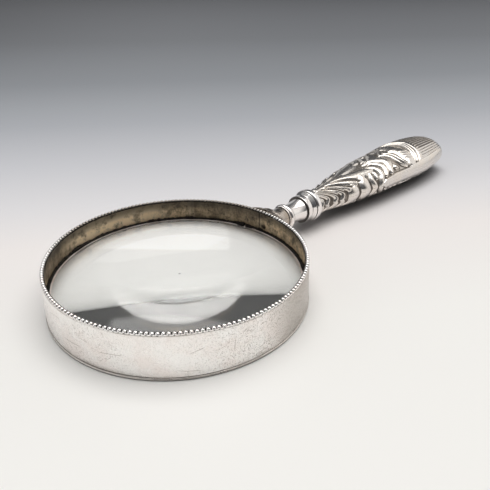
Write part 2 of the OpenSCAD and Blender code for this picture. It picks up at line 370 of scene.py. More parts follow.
def band_inside(n, vector, arc, z, turn):
    """Tarnish, mottled brown and olive with dark spots and vertical runs, darker round DARK_SIDE_DEG and
    towards the top, lighter round PALE_SIDE_DEG and darkened near the handle by painted shade: its colour and
    roughness.
    """
    mottle = n.noise(vector, 200.0, detail=8.0, rough=0.75)
    runs = n.noise(vector, 330.0, detail=4.0, stretch=(1.0, 0.22, 1.0))
    spots = n.ramp(n.noise(vector, 240.0, detail=5.0, rough=0.7), 0.57, 0.66)
    flecks = n.noise(vector, 1150.0, detail=4.0, rough=0.8, stretch=(1.0, 0.55, 1.0))
    flecks = n.ramp(flecks, 0.51, 0.60)
    dark_side = n.ramp(n.facing(turn, DARK_SIDE_DEG), 0.78, 0.98, 0.0, 0.62)
    # Painted shade on the inside of the band near the handle.
    handle_side_shade = n.ramp(n.facing(turn, HANDLE_SHADE_DEG), 0.86, 0.99, 0.0, 0.45)
    pale_side = n.ramp(n.facing(turn, PALE_SIDE_DEG), 0.78, 0.97, 0.0, 0.95)
    up = n.ramp(z, BAND_LOW[2] * MM, BAND_HIGH[2] * MM)
    from_seam = n.unsigned(n.minus(arc, math.radians(SEAM_DEG) * RIM_R * MM))

    tone = n.mix(n.ramp(mottle, 0.40, 0.60), rgb(0.84, 0.635, 0.39), rgb(0.28, 0.215, 0.14))
    tone = n.mix(n.ramp(runs, 0.50, 0.70, 0.0, 0.7), tone, rgb(0.84, 0.67, 0.45))
    tone = n.mix(n.times(flecks, 0.65), tone, rgb(0.13, 0.105, 0.07))
    tone = n.mix(n.times(spots, 0.85), tone, rgb(0.035, 0.03, 0.024))
    tone = n.mix(n.larger(dark_side, handle_side_shade), tone, rgb(0.10, 0.08, 0.055))
    tone = n.mix(n.times(pale_side, n.ramp(mottle, 0.66, 0.46)), tone, rgb(1.0, 0.80, 0.53))
    tone = n.mix(n.ramp(up, 0.78, 1.0, 0.0, 0.75), tone, rgb(0.07, 0.06, 0.045))
    tone = n.mix(n.ramp(from_seam, 0.10 * MM, 0.30 * MM, 0.85, 0.0), tone, BLACKENED)
    return tone, n.ramp(mottle, 0.3, 0.7, 0.36, 0.60)


def band_material():
    """The band's two sides: worn silver plate outside, old tarnish with some painted shade inside."""
    n = Surface("band_silver")
    vector, arc, z, r, turn = n.polar(RIM_R * MM)
    inside = n.ramp(r, (RIM_BORE + 0.25) * MM, (RIM_BORE + 0.45) * MM, 1.0, 0.0)
    outer_tone, outer_rough, height = band_outside(n, vector, z, turn)
    inner_tone, inner_rough = band_inside(n, vector, arc, z, turn)
    return n.finish(Base_Color=n.mix(inside, outer_tone, inner_tone), Metallic=n.blend(inside, 1.0, 0.45),
                    Roughness=n.blend(inside, outer_rough, inner_rough),
                    Normal=n.bump(height, 0.55, 0.04 * MM))


def bead_material():
    """Bright beads with black tarnish packed between them, browner round OLD_BEADS_DEG."""
    n = Surface("bead_silver")
    place = n.place()
    grime = n.attribute("grime")
    patch = n.noise(place, 900.0, detail=3.0)
    cloud = n.noise(place, 60.0, detail=2.0)
    turn = n.polar(RIM_R * MM)[4]
    old = n.ramp(n.facing(turn, OLD_BEADS_DEG), 0.15, 0.75, 0.0, 0.75)
    amount = n.ramp(n.plus(grime, n.times(n.minus(patch, 0.5), 0.5)), 0.35, 0.75)
    clean = n.mix(n.ramp(cloud, 0.4, 0.65), SILVER, SILVER_WARM)
    clean = n.mix(old, clean, rgb(0.17, 0.135, 0.09))
    return n.finish(Base_Color=n.mix(amount, clean, BLACKENED), Metallic=1.0,
                    Roughness=n.ramp(amount, 0.0, 1.0, 0.17, 0.6), Normal=n.bump(patch, 0.15, 0.05 * MM))


def foot_material():
    """Worn wire, bright along its middle, darkened along its bottom by dirt together with painted shade where
    it meets the table, and dirty where it meets the band.
    """
    n = Surface("foot_silver")
    vector, _, z, _, _ = n.polar(RIM_R * MM)
    patch = n.noise(vector, 500.0, detail=4.0, stretch=(0.3, 1.0, 1.0))
    groove = n.times(n.ramp(z, 0.78 * MM, 0.89 * MM), 0.45)
    # Painted shade together with dirt: the wire is darker at its bottom, where it meets the table.
    under = n.ramp(z, 0.28 * MM, 0.62 * MM, 1.0, 0.0)
    # dirt here also holds the painted shade from the underside.
    dirt = n.larger(n.larger(groove, under), n.ramp(patch, 0.55, 0.75, 0.0, 0.5))
    return n.finish(Base_Color=n.mix(dirt, rgb(0.60, 0.56, 0.52), rgb(0.06, 0.052, 0.045)),
                    Metallic=n.blend(under, 1.0, 0.3), Roughness=n.ramp(patch, 0.3, 0.7, 0.22, 0.42),
                    Normal=n.bump(patch, 0.3, 0.05 * MM))


def dark_ring_material(name, scale, lift):
    """Sulphide tarnish on the rings around the lens, near black at a lift of 1."""
    n = Surface(name)
    place = n.place()
    patch = n.noise(place, scale, detail=5.0, rough=0.65)
    fleck = n.ramp(n.noise(place, scale * 4, detail=3.0), 0.58, 0.72)
    tone = n.mix(n.ramp(patch, 0.35, 0.68), rgb(0.012 * lift, 0.010 * lift, 0.008 * lift),
                 rgb(0.040 * lift, 0.031 * lift, 0.022 * lift))
    return n.finish(Base_Color=n.mix(n.times(fleck, 0.2), tone, rgb(0.16, 0.13, 0.095)), Metallic=0.25,
                    Specular_IOR_Level=0.25, Roughness=n.ramp(patch, 0.3, 0.7, 0.5, 0.8),
                    Normal=n.bump(patch, 0.5, 0.1 * MM))


def polished_material(name, clean, warm, low, high, dirt, depth, lines=()):
    """Polished silver with rub marks, its roughness from low to high.

    Dirt covers up to depth of the silver's colour where the mesh has "grime", which on the chased handle also
    holds painted shade over the flutes, and in the grooves at lines, each a place along the handle's axis and
    a half width in millimetres.
    """
    n = Surface(name)
    place = n.place()
    along = n.xyz(place)[0]
    cloud = n.noise(place, 150.0, detail=4.0)
    fine = n.noise(place, 1400.0, detail=3.0, stretch=(0.35, 1.0, 1.0))
    # On the chased handle, grime also carries painted shade over the top of the flutes.
    grime = n.attribute("grime")
    for x, half in lines:
        off = n.unsigned(n.minus(along, x * MM))
        grime = n.larger(grime, n.ramp(off, half * 0.5 * MM, half * 1.3 * MM, 1.0, 0.0))
    amount = n.ramp(n.plus(grime, n.times(n.minus(cloud, 0.5), 0.35)), 0.22, 0.78)
    tone = n.mix(n.ramp(cloud, 0.35, 0.7), clean, warm)
    return n.finish(Base_Color=n.mix(n.times(amount, depth), tone, dirt), Metallic=1.0,
                    Roughness=n.plus(n.ramp(fine, 0.3, 0.7, low, high), n.times(amount, 0.25)),
                    Normal=n.bump(fine, 0.12, 0.03 * MM))


def turned_metal_material(name, tone, dark):
    """Lathe-turned steel or brass. The stud's end, which shows inside the band, is brown with tarnish."""
    n = Surface(name)
    place = n.place()
    patch = n.noise(place, 420.0, detail=5.0)
    turned = n.noise(place, 2200.0, detail=2.0, stretch=(1.0, 0.1, 0.1))
    colour = n.mix(n.ramp(patch, 0.4, 0.7), tone, dark)
    tarnish = n.ramp(n.xyz(place)[0], (TENON_END - 0.6) * MM, TENON_END * MM, 1.0, 0.0)
    return n.finish(Base_Color=n.mix(tarnish, colour, rgb(0.11, 0.085, 0.06)), Metallic=1.0,
                    Roughness=n.ramp(turned, 0.3, 0.7, 0.28, 0.5), Normal=n.bump(turned, 0.25, 0.03 * MM))


def pitch_material():
    """Black-brown setting pitch."""
    n = Surface("pitch")
    lump = n.noise(n.place(), 260.0, detail=5.0)
    tone = n.mix(n.ramp(lump, 0.35, 0.7), rgb(0.012, 0.010, 0.008), rgb(0.045, 0.032, 0.022))
    return n.finish(Base_Color=tone,
                    Roughness=n.ramp(lump, 0.3, 0.7, 0.45, 0.8), Normal=n.bump(lump, 0.6, 0.3 * MM))


def glass_material():
    """The lens's polished glass, with faint smears and dust. It lets a little less than all light through."""
    n = Surface("lens_glass")
    place = n.place()
    smear = n.noise(place, 45.0, detail=5.0, rough=0.6)
    dust = n.ramp(n.noise(place, 2400.0, detail=2.0, rough=0.8), 0.70, 0.80)
    haze = n.plus(n.ramp(smear, 0.52, 0.75, 0.0, 0.035), n.times(dust, 0.12))
    return n.finish(Base_Color=rgb(0.992, 1.0, 0.99), Roughness=haze, IOR=1.58, Transmission_Weight=0.968)


def ground_material():
    """The lens's ground edge: greyed, slightly pink where dirt has caught in it."""
    n = Surface("ground_glass")
    place = n.place()
    grit = n.noise(place, 1800.0, detail=4.0)
    stain = n.noise(place, 120.0, detail=4.0)
    tone = n.mix(n.ramp(stain, 0.35, 0.68), rgb(0.93, 0.84, 0.80), rgb(0.70, 0.58, 0.50))
    return n.finish(Base_Color=tone, Roughness=n.ramp(grit, 0.3, 0.7, 0.45, 0.7), IOR=1.5,
                    Transmission_Weight=0.25, Normal=n.bump(grit, 0.4, 0.05 * MM))


# ---- the rim

def wobble(degrees, seed, size):
    """Small hand-made unevenness around a ring."""
    rng = np.random.default_rng(seed)
    a = np.radians(degrees)
    total = np.zeros_like(a)
    for k in (2, 3, 5, 8, 13):
        total += rng.normal() * np.cos(k * a + rng.uniform(0, 2 * math.pi)) / k
    return size * total


def ring_degrees(count, near=()):
    """Even azimuths, with extra ones close to each feature."""
    steps = (-0.30, -0.22, -0.17, -0.12, -0.06, 0.0, 0.06, 0.12, 0.17, 0.22, 0.30)
    extra = [feature + step for feature in near for step in steps]
    return np.array(sorted(set(np.linspace(0, 360, count, endpoint=False).tolist() + extra)))


def lean_in(degrees, z):
    """How far the band's outside leans in at a height; upright beside the handle's fitting."""
    side = np.abs((np.asarray(degrees) + 180.0) % 360.0 - 180.0)
    away = smooth_step((side - 22.0) / 25.0)
    rise = np.clip((z - BAND_LOW[2]) / (BAND_HIGH[2] - BAND_LOW[2]), 0, 1)
    return LEAN * away * rise


def build_band(material):
    """The band, leaning in a little, uneven by hand, with its seam as a fine groove inside."""
    chamfer = 0.32
    outline = refine(rounded([
        (RIM_BORE, BAND_LOW[2]), (RIM_R - chamfer, BAND_LOW[2]), (RIM_R, BAND_LOW[2] + chamfer),
        (RIM_R, BAND_HIGH[2]), (RIM_BORE, BAND_HIGH[2])
    ], 0.14), 0.6)
    degrees = ring_degrees(720, (SEAM_DEG,))
    points = spin_z(outline, degrees)
    r = np.hypot(points[..., 0], points[..., 1])
    z = points[..., 2]
    rise = (z - BAND_LOW[2]) / (BAND_HIGH[2] - BAND_LOW[2])
    top_push, foot_push = wobble(degrees, SEED, 0.045), wobble(degrees, SEED + 1, 0.03)
    push = top_push[:, None] * rise + foot_push[:, None] * (1 - rise)
    seam_half, seam_depth = 0.13, 0.22
    seam = np.exp(-(((degrees - SEAM_DEG) / seam_half) ** 4))[:, None] * (r < RIM_BORE + 0.2)
    outside = np.clip((r - RIM_BORE) / RIM_WALL, 0, 1)
    upper = np.clip((z - KEEPER_HIGH[2]) / (BAND_HIGH[2] - KEEPER_HIGH[2]), 0, 1)
    bore_lean = lean_in(degrees[:, None], BAND_HIGH[2] * upper)
    leaning = lean_in(degrees[:, None], z) * outside + bore_lean * (1 - outside)
    r_new = r + push + seam_depth * seam - leaning
    points[..., :2] *= (r_new / r)[..., None]
    faces = grid_faces(len(degrees), len(outline), True, True)
    obj = make_object("rim_band_plate", points, faces, "rim", [material])
    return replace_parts(obj, "rim_band")


def build_foot(material):
    """The half-round wire round the band's foot."""
    half = (FOOT_HIGH[2] - FOOT_LOW[2]) / 2
    out_r = FOOT_HIGH[0]
    arc = np.radians(np.linspace(-90, 90, 13))
    outer = np.stack([out_r - half + half * np.cos(arc), half + half * np.sin(arc)], 1)
    outline = np.concatenate([outer, [(RIM_BORE - 0.1, 2 * half), (RIM_BORE - 0.1, 0.0)]])
    outline = refine(outline, 0.5)
    degrees = ring_degrees(540)
    points = spin_z(outline, degrees)
    r = np.hypot(points[..., 0], points[..., 1])
    push = wobble(degrees, SEED + 2, 0.03)[:, None]
    push = push - push.max()
    points[..., :2] *= ((r + push) / r)[..., None]
    faces = grid_faces(len(degrees), len(outline), True, True)
    obj = make_object("foot_wire_rolled", points, faces, "rim", [material])
    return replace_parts(obj, "foot_wire")


BEAD_COUNT = 184              # as in the part's source
BEAD_RING_R = RIM_R - 1.1     # the circle through the beads' middles
BEAD_R = 0.68
STRIP_T = 0.3                 # the thickness of the strip under the beads


def build_beads(material):
    """The flat strip and its slightly uneven beads, one mesh; "grime" is 1 in the dirt between beads."""
    rng = np.random.default_rng(SEED + 3)
    strip_top = BEAD_LOW[2] + STRIP_T
    outline = refine(rounded([
        (RIM_BORE - 1.0, BEAD_LOW[2]), (RIM_R, BEAD_LOW[2]), (RIM_R, strip_top), (RIM_BORE - 1.0, strip_top)
    ], 0.12), 0.3)
    degrees = ring_degrees(540)
    strip = spin_z(outline, degrees)
    edge = np.clip((outline[:, 0] - RIM_BORE) / RIM_WALL, 0, 1)
    r = outline[None, :, 0] - lean_in(degrees[:, None], BAND_HIGH[2]) * edge[None, :]
    strip[..., :2] *= (r / outline[None, :, 0])[..., None]
    strip = strip.reshape(-1, 3)
    faces = grid_faces(len(degrees), len(outline), True, True)
    grime = [np.clip((BEAD_RING_R + 0.35 - np.hypot(strip[:, 0], strip[:, 1])) / 0.25, 0, 1)]
    points = [strip]
    rings, around, lowest = 10, 16, -55
    lat = np.radians(np.linspace(90, lowest, rings))
    lon = np.radians(np.linspace(0, 360, around, endpoint=False))
    la, lo = np.meshgrid(lat, lon, indexing="ij")
    unit = np.stack([np.cos(la) * np.cos(lo), np.cos(la) * np.sin(lo), np.sin(la)], -1).reshape(-1, 3)
    bead_faces = np.array(grid_faces(rings, around, False, True, flip=True))
    start = len(strip)
    for i in range(BEAD_COUNT):
        a = 2 * math.pi * i / BEAD_COUNT + rng.normal() * 0.0008
        size = BEAD_R * (1 - abs(rng.normal()) * 0.02)
        stretch = np.array([1.0, 1.10 + rng.normal() * 0.03, 1.0 - abs(rng.normal()) * 0.03])
        local = unit * size * stretch
        x = BEAD_RING_R + local[:, 0] + rng.normal() * 0.015
        y = local[:, 1]
        points.append(np.stack([x * math.cos(a) - y * math.sin(a), x * math.sin(a) + y * math.cos(a),
                                strip_top + local[:, 2]], 1))
        side = np.clip((np.abs(unit[:, 1]) - 0.64) / 0.22, 0, 1)
        base = np.clip((0.22 - unit[:, 2]) / 0.28, 0, 1)
        grime.append(np.clip(np.maximum(side, base) + rng.normal() * 0.08, 0, 1))
        faces += (bead_faces + start).tolist()
        start += len(unit)
    obj = make_object("beaded_edge", np.concatenate(points), faces, "rim", [material])
    set_attribute(obj, "grime", np.concatenate(grime))
    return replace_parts(obj, "beaded_wire")


def build_lens(glass, ground):
    """Biconvex lens: two polished domes, a ground flat around each and a ground edge."""
    edge_r = LENS_HIGH[1]
    land, half_edge, bevel, crown_rise = 1.5, 1.25, 0.22, 0.8
    dome_r = edge_r - land
    z_mid = (LENS_LOW[2] + LENS_HIGH[2]) / 2
    sag = (LENS_HIGH[2] - LENS_LOW[2]) / 2 - half_edge
    curve = (dome_r * dome_r + sag * sag) / (2 * sag)
    radii = dome_r * np.sin(np.linspace(0, math.pi / 2, 72))
    radii[0] = 0.02
    dome = half_edge + sag - (curve - np.sqrt(curve * curve - radii * radii))
    crown = crown_rise * np.clip(1 - (radii / dome_r) ** 2, 0, 1)
    edge = np.array([(dome_r + 0.05, half_edge), (edge_r - bevel, half_edge), (edge_r, half_edge - bevel)])
    top = np.concatenate([np.stack([radii, dome], 1), edge])
    outline = np.concatenate([top, (top * [1, -1])[::-1]])
    outline[:len(radii), 1] += crown
    steps, cols = 360, len(outline)
    degrees = np.linspace(0, 360, steps, endpoint=False)
    points = spin_z(outline, degrees) + [0, 0, z_mid]
    faces = grid_faces(steps, cols, True, False, flip=True)
    polished_face, ground_face = 0, 1
    middle_r = (outline[:-1, 0] + outline[1:, 0]) / 2
    strip = [polished_face if r < dome_r + 0.02 else ground_face for r in middle_r]
    faces.append([i * cols for i in range(steps)])
    faces.append([i * cols + cols - 1 for i in range(steps)][::-1])
    obj = make_object("lens_glass", points, faces, "rim", [glass, ground],
                      strip * steps + [polished_face] * 2)
    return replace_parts(obj, "lens")


def build_keeper(material):
    """The sprung ring that holds the lens, lumpy with black dirt, with a lug at each side of its gap."""
    rng = np.random.default_rng(SEED + 5)
    inner_r, outer_r, low, high = 42.93, RIM_BORE - 0.02, KEEPER_LOW[2], KEEPER_HIGH[2]
    gap, gap_at, lug, lug_reach = 1.2, 11.5, 4.0, 0.50
    degrees = np.linspace(gap_at + gap / 2, gap_at + 360 - gap / 2, 900)
    from_gap = np.minimum(degrees - degrees[0], degrees[-1] - degrees)
    # Dirt in two sizes of lump, and a few heaps of it.
    coarse = np.interp(degrees, np.linspace(0, 400, 140), np.clip(rng.normal(size=140), -0.6, 2.2))
    fine = np.interp(degrees, np.linspace(0, 400, 700), rng.normal(size=700))
    lump = np.clip(0.18 * coarse + 0.08 * fine, -0.06, 0.45)
    heaps = ((15.0, 4.0), (109.0, 6.0), (93.0, 3.0), (62.0, 5.0))    # azimuth and width, in degrees
    for at, width in heaps:
        lump = lump + 0.42 * np.exp(-(((degrees - at) / width) ** 2)) * (0.7 + 0.3 * fine)
    reach = inner_r - lump * 0.5 - lug_reach * (from_gap < lug)
    top = high - 0.28 + 1.3 * lump + 0.25 * np.exp(-(from_gap / 5.0) ** 2)
    rows = []
    for angle, r, z in zip(np.radians(degrees), reach, top):
        ring = rounded([(r, low), (outer_r, low), (outer_r, z), (r, z - 0.1)], 0.2, 3)
        rows.append(np.stack([ring[:, 0] * math.cos(angle), ring[:, 0] * math.sin(angle), ring[:, 1]], 1))
    points = np.array(rows)
    cols = points.shape[1]
    faces = grid_faces(len(rows), cols, False, True) + caps(len(rows), cols)
    obj = make_object("lens_keeper", points, faces, "rim", [material])
    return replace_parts(obj, "retaining_ring")


# ---- turned fittings on the handle's axis

def build_front_ring(material):
    """The neck's front ring, with the hollow moulding that runs from it up to the rear ring."""
    start, end, r = FRONT_LOW[0], FRONT_HIGH[0], (FRONT_HIGH[2] - FRONT_LOW[2]) / 2
    hollow_end, top, bore = REAR_LOW[0] - 0.03, r + 0.55, r - 2.0
    outline = rounded([
        (start, bore), (start, r - 0.05), (end - 0.1, r), (end + 0.35, r - 0.75), (end + 0.9, r - 0.45),
        (hollow_end - 0.3, top), (hollow_end, top), (hollow_end, bore)
    ], 0.34, 5)
    steps = 160
    a = np.radians(np.linspace(0, 360, steps, endpoint=False))[:, None]
    x, ring_r = outline[:, 0][None, :], outline[:, 1][None, :]
    points = about_axis(x + 0 * a, ring_r, ring_r, a)
    faces = grid_faces(steps, len(outline), True, True)
    obj = make_object("front_ring_turned", points, faces, "handle", [material])
    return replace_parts(obj, "front_ring")


def build_stud(material):
    """The stud: its tenon through the band, a plain shank in the boss and a real thread beyond the collar."""
    low_x, high_x, r = STUD_LOW[0], STUD_HIGH[0], (STUD_HIGH[2] - STUD_LOW[2]) / 2
    tenon_r, pitch, depth = 1.0, 1.058, 0.42
    collar_end = COLLAR_HIGH[0]
    plain = [low_x, TENON_END - 0.01, TENON_END, TENON_END + 2, collar_end - 1]
    x = np.concatenate([plain, np.linspace(collar_end, high_x, 240)])
    a = np.linspace(0, 2 * math.pi, 72, endpoint=False)
    xx, aa = np.meshgrid(x, a, indexing="ij")
    wave = np.abs(((xx / pitch - aa / (2 * math.pi)) % 1.0) * 2 - 1)
    tip = np.clip((high_x - xx) / 0.6, 0, 1)
    threaded = np.clip((xx - collar_end) / 0.8, 0, 1)
    rr = np.where(xx < TENON_END, tenon_r, (r - depth * wave * threaded) * (0.75 + 0.25 * tip))
    points = about_axis(xx, rr, rr, aa)
    faces = grid_faces(len(x), len(a), False, True, flip=True) + caps(len(x), len(a), flip=True)
    obj = make_object("stud_thread", points, faces, "rim", [material])
    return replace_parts(obj, "threaded_stud")


# ---- the chased handle

SHELL_X = SHELL_LOW[0]
SHELL_END = SHELL_HIGH[0] - 2.0    # the visible handle ends a little before the CAD's
SHELL_LEN = SHELL_END - SHELL_X
# Along the handle from 0 to 1, with its half width and half height there in millimetres.
STATIONS = np.array([
    (0.000, 6.2, 5.9), (0.060, 6.4, 5.8), (0.135, 8.3, 6.6), (0.240, 10.2, 7.4), (0.380, 12.4, 8.2),
    (0.510, 13.3, 8.6), (0.630, 14.4, 9.05), (0.720, 15.0, 9.3), (0.810, 14.6, 9.0),
    (0.895, 13.3, 8.3), (0.950, 11.8, 7.4), (0.985, 9.2, 5.8), (1.000, 5.6, 3.6)])
RELIEF = 1.3       # from the deepest hollow to the highest crest
FLUTE_TOP = 0.86


def half_size(u, k):
    """Half width (k of 1) or half height (k of 2) of the handle, smooth through its stations."""
    s, v = STATIONS[:, 0], STATIONS[:, k]
    slope = np.zeros(len(s))
    slope[1:-1] = (v[2:] - v[:-2]) / (s[2:] - s[:-2])
    i = np.clip(np.searchsorted(s, u, side="left") - 1, 0, len(s) - 2)
    d = s[i + 1] - s[i]
    t = (u - s[i]) / d
    return ((1 + 2 * t) * (1 - t) ** 2 * v[i] + t * (1 - t) ** 2 * slope[i] * d
            + t * t * (3 - 2 * t) * v[i + 1] - t * t * (1 - t) * slope[i + 1] * d)


def smooth_path(points, count=48):
    """A Catmull-Rom curve through rows of numbers."""
    p = np.array(points, float)
    p = np.concatenate([[2 * p[0] - p[1]], p, [2 * p[-1] - p[-2]]])
    t = np.linspace(0, len(points) - 1 - 1e-6, count)
    i = t.astype(int)
    f = (t - i)[:, None]
    a, b, c, d = p[i], p[i + 1], p[i + 2], p[i + 3]
    square, cube = 2 * a - 5 * b + 4 * c - d, 3 * b - a - 3 * c + d
    return 0.5 * (2 * b + (c - a) * f + square * f ** 2 + cube * f ** 3)


# Raised work on one quarter of the handle, from the top ridge at 90 degrees to the seam at 180.
# Each point is x in mm, angle in degrees and half width in mm. Each stroke ends with its height, at most 1.
LOBES = [
    # the long plain leaf
    ([(77, 92, 1.0), (82, 91, 2.4), (88, 93, 3.6), (96, 97, 4.6),
      (104, 104, 4.8), (110, 112, 3.8), (114, 121, 1.4)], 1.0),
    # flame lobes that curl from the ridge down to the seam
    ([(84, 98, 0.9), (91, 108, 2.0), (96, 120, 2.5), (99.5, 134, 1.8), (100, 143, 0.8)], 0.92),
    ([(81, 100, 0.8), (87, 112, 1.7), (91.5, 126, 2.1), (94, 140, 1.9), (94, 152, 1.0)], 0.90),
    ([(78, 102, 0.8), (83.5, 115, 1.5), (87.5, 130, 1.8),
      (89.5, 147, 1.7), (89.5, 164, 1.4), (88.5, 184, 1.2)], 0.88),
    ([(76, 104, 0.7), (80, 117, 1.2), (83.5, 133, 1.6),
      (85.3, 150, 1.6), (85.5, 168, 1.4), (84.5, 186, 1.2)], 0.85),
    ([(75.6, 118, 0.8), (78.3, 130, 1.1), (80.3, 145, 1.3),
      (80.8, 160, 1.3), (80, 176, 1.2), (79, 190, 1.0)], 0.84),
    ([(75.4, 140, 0.7), (76.8, 152, 1.0), (77, 166, 1.0), (76.2, 182, 0.9)], 0.82),
    # pads at the seam
    ([(95.8, 148, 2.6), (96.6, 165, 3.6), (96.6, 184, 3.8)], 0.95),
    ([(105.2, 124, 1.8), (104.6, 140, 3.0), (104.6, 160, 3.4), (105, 184, 3.4)], 0.98),
    ([(110.9, 128, 0.9), (110.3, 145, 1.6), (110.6, 162, 1.8), (111.5, 184, 1.8)], 0.86),
    # the scroll that opens the second half
    ([(112.0, 106, 0.8), (116.2, 113, 1.7), (118.0, 128, 1.9),
      (117.8, 146, 1.9), (116.2, 162, 1.7), (115.2, 186, 1.6)], 1.0),
    ([(114.2, 132, 1.3), (114.0, 142, 1.5), (113.6, 150, 1.0)], 0.8),
    ([(115.5, 92, 0.8), (120.5, 103, 1.8), (123.2, 120, 2.0),
      (123.0, 138, 1.9), (121.0, 152, 1.2)], 0.94),
    ([(117.5, 80, 1.2), (123.5, 90, 2.8), (128.0, 104, 3.1),
      (128.6, 120, 2.6), (126.6, 138, 2.2), (125.6, 151, 1.3)], 1.0),
    ([(130.6, 139, 1.7), (131.2, 147, 1.5)], 0.85),
    ([(127.0, 80, 0.9), (132.6, 92, 1.3), (134.9, 108, 1.2),
      (135.2, 126, 1.1), (136.6, 143, 0.9), (139, 152, 0.7)], 0.92),
    ([(130.5, 80, 0.8), (135.6, 92, 1.0), (137.7, 108, 1.0),
      (138.0, 126, 0.9), (139.3, 142, 0.8), (141.5, 150, 0.6)], 0.9),
    # the broad plain band, crossed by small cuts
    ([(139.5, 78, 2.0), (144.0, 92, 3.6), (145.4, 108, 4.4),
      (144.8, 126, 4.3), (144.4, 146, 3.4)], 0.93),
    # two fine cords before the flutes
    ([(155.0, 60, 0.6), (154.6, 90, 0.7), (153.2, 110, 0.7),
      (151.0, 130, 0.7), (148.6, 150, 0.6)], 0.95),
    ([(153.2, 60, 0.5), (152.8, 90, 0.6), (151.4, 110, 0.6), (149.2, 130, 0.6), (146.8, 150, 0.5)], 0.9),
]
# Cuts into the raised work: x, angle, half width; then the depth.
CUTS = [
    ([(88.5, 99, 0.5), (93, 106, 0.7), (97, 115, 0.85), (101, 127, 0.75), (102.5, 136, 0.6)], 0.95),
    ([(84, 101, 0.5), (87.5, 110, 0.7), (91, 122, 0.85), (94.5, 136, 0.75), (96.5, 144, 0.5)], 0.95),
    ([(80.5, 103, 0.5), (83.5, 113, 0.6), (87, 127, 0.75), (89.6, 142, 0.75), (91.5, 156, 0.7)], 0.95),
    ([(78, 106, 0.4), (80.6, 118, 0.5), (83.6, 134, 0.65),
      (86, 150, 0.65), (87, 166, 0.6), (86.8, 184, 0.6)], 0.9),
    ([(76.6, 112, 0.4), (78.4, 123, 0.5), (81, 139, 0.6),
      (82.6, 155, 0.6), (82.6, 172, 0.55), (81.6, 188, 0.6)], 0.9),
    ([(99, 86, 1.0), (106, 88, 2.6), (113, 92, 2.4), (117, 97, 1.0)], 0.95),
    ([(141.5, 107, 0.30), (145.0, 112, 0.35), (148.5, 115, 0.25)], 0.35),
    ([(141.5, 117, 0.30), (145.5, 122, 0.35), (148.8, 125, 0.25)], 0.35),
    ([(142.0, 128, 0.30), (145.0, 132, 0.35), (147.5, 135, 0.25)], 0.35),
    ([(91.6, 150, 0.35), (92.4, 165, 0.4), (92.0, 184, 0.35)], 0.5),
    ([(100.4, 132, 0.5), (100.6, 150, 0.7), (100.6, 170, 0.75), (100.8, 186, 0.75)], 0.85),
    ([(107.9, 128, 0.4), (107.8, 150, 0.5), (108.2, 184, 0.5)], 0.7),
    ([(112.6, 134, 0.5), (112.0, 148, 0.7), (112.6, 158, 0.5)], 0.8),
    ([(130.2, 132, 0.5), (128.9, 141, 0.7), (130.4, 151, 0.6), (133.2, 151, 0.5)], 0.8),
]


def carve(x, angle, arc_of):
    """Relief of one quarter, 0 in the hollows to 1 on the crests."""
    arc = arc_of(x, angle)
    ground, strip_top, front_rest, end_rest = 0.10, 0.80, 0.75, 0.6
    height = np.full(x.shape, ground)

    def spread(path):
        """The grid points near a stroke, and how far from its middle they are in half widths."""
        line = smooth_path(path)
        px, pa, pw = line[:, 0], line[:, 1], np.maximum(line[:, 2], 0.15)
        parc = arc_of(px, pa)
        reach = pw.max() + 0.6
        near = ((x > px.min() - reach) & (x < px.max() + reach)
                & (arc > parc.min() - reach) & (arc < parc.max() + reach))
        where = np.nonzero(near)
        dx = x[where][:, None] - px[None, :]
        ds = arc[where][:, None] - parc[None, :]
        q = np.sqrt(dx * dx + ds * ds) / pw[None, :]
        return where, q.min(1)

    for path, top in LOBES:
        where, q = spread(path)
        dome = ground + (top - ground) * np.clip(1 - q * q, 0, 1) ** 0.6
        height[where] = np.maximum(height[where], np.where(q < 1, dome, 0))

    # The plain strip along the seam.
    strip_x = [112, 119, 128, 140, 149, 156, 172, 186]
    strip_edge = [200, 163, 157, 158, 152, 149, 147, 150]
    strip = smooth_step((angle - np.interp(x, strip_x, strip_edge)) / 2.2)
    height = np.maximum(height, strip * strip_top)

    # The flutes at the end, which start on a line that slants back towards the seam.
    flute_pitch = 7.2
    start = 156.4 - 0.07 * (angle - 90) - 0.06 * np.clip(angle - 118, 0, 99)
    in_flutes = np.clip((x - start) / 0.5, 0, 1)
    grow = smooth_step((x - start - 1.8) / 2.4)
    reed = np.abs(np.sin(math.pi * (angle - 90) / flute_pitch)) ** 0.85
    flutes = FLUTE_TOP - 0.34 * (1 - reed) * grow - 0.08 * grow
    keep = in_flutes * (1 - strip)
    height = height * (1 - keep) + flutes * keep

    for path, deep in CUTS:
        where, q = spread(path)
        height[where] -= deep * np.exp(-(q * 1.2) ** 2) * height[where]
    front = np.clip((x - SHELL_X) / 1.6, 0, 1)
    height = height * front + front_rest * (1 - front)
    end = np.clip((x - (SHELL_END - 3.0)) / 2.5, 0, 1)
    return height * (1 - end) + end_rest * end


def soften(values, passes):
    """Small blur over a grid, edges held."""
    for _ in range(passes):
        p = np.pad(values, 1, mode="edge")
        values = (p[1:-1, 1:-1] * 4 + p[:-2, 1:-1] + p[2:, 1:-1] + p[1:-1, :-2] + p[1:-1, 2:]) / 8
    return values


